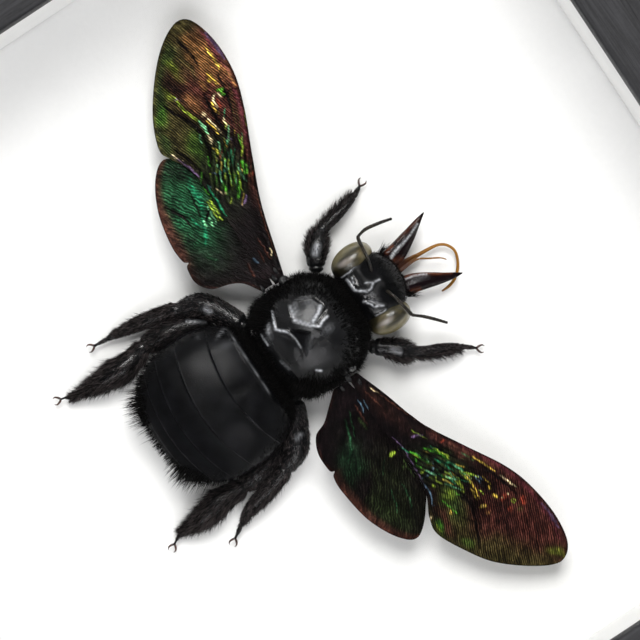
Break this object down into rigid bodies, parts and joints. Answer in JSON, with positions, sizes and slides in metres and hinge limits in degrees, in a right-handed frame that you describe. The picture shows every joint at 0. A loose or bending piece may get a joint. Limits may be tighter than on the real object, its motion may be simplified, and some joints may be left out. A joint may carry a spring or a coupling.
{
  "type": "framed carpenter bee",
  "caption": "Large glossy black carpenter bee with iridescent spread wings, mounted on a white board in a square charcoal wood box frame with a glass front.",
  "frame": {"origin": "middle of the frame's back, on the surface that it lies on", "axes": "+X to the frame's right side, +Y to its top edge and the bee's head, +Z out of the glass front"},
  "size_m": [0.125, 0.125, 0.03],
  "materials": {
    "charcoal_wood": "charcoal stain with a fine open grain, satin",
    "clear_glass": "clear, flat and polished",
    "white_liner_card": "matte white",
    "white_mount_board": "matte white with a faint grain",
    "brown_hardboard": "raw hardboard",
    "tab_steel": "plain stamped steel",
    "black_cuticle": "glossy black, hairy round the edges",
    "mandible_brown": "glossy black with a red-brown edge",
    "tongue_amber": "orange-brown, satin",
    "antenna_brown": "dark brown, satin",
    "leg_black": "black under dense black hair",
    "forewing_film": "dark film, iridescent green, gold and magenta",
    "hindwing_film": "dark film, iridescent green"
  },
  "bodies": {
    "root": {"frame_rail_top": "charcoal_wood", "frame_rail_bottom": "charcoal_wood", "frame_rail_left": "charcoal_wood", "frame_rail_right": "charcoal_wood", "glass_pane": "clear_glass", "liner_top": "white_liner_card", "liner_bottom": "white_liner_card", "liner_left": "white_liner_card", "liner_right": "white_liner_card", "mount_board": "white_mount_board", "back_panel": "brown_hardboard", "retaining_tab_top": "tab_steel", "retaining_tab_bottom": "tab_steel", "retaining_tab_left": "tab_steel", "retaining_tab_right": "tab_steel", "thorax": "black_cuticle", "abdomen": "black_cuticle", "head": "black_cuticle", "mandible_left": "mandible_brown", "mandible_right": "mandible_brown", "tongue": "tongue_amber", "labial_palp": "tongue_amber", "antenna_left": "antenna_brown", "antenna_right": "antenna_brown", "forewing_left": "forewing_film", "forewing_right": "forewing_film", "hindwing_left": "hindwing_film", "hindwing_right": "hindwing_film", "foreleg_left": "leg_black", "foreleg_right": "leg_black", "midleg_left": "leg_black", "midleg_right": "leg_black", "hindleg_left": "leg_black", "hindleg_right": "leg_black"}
  },
  "joints": []
}
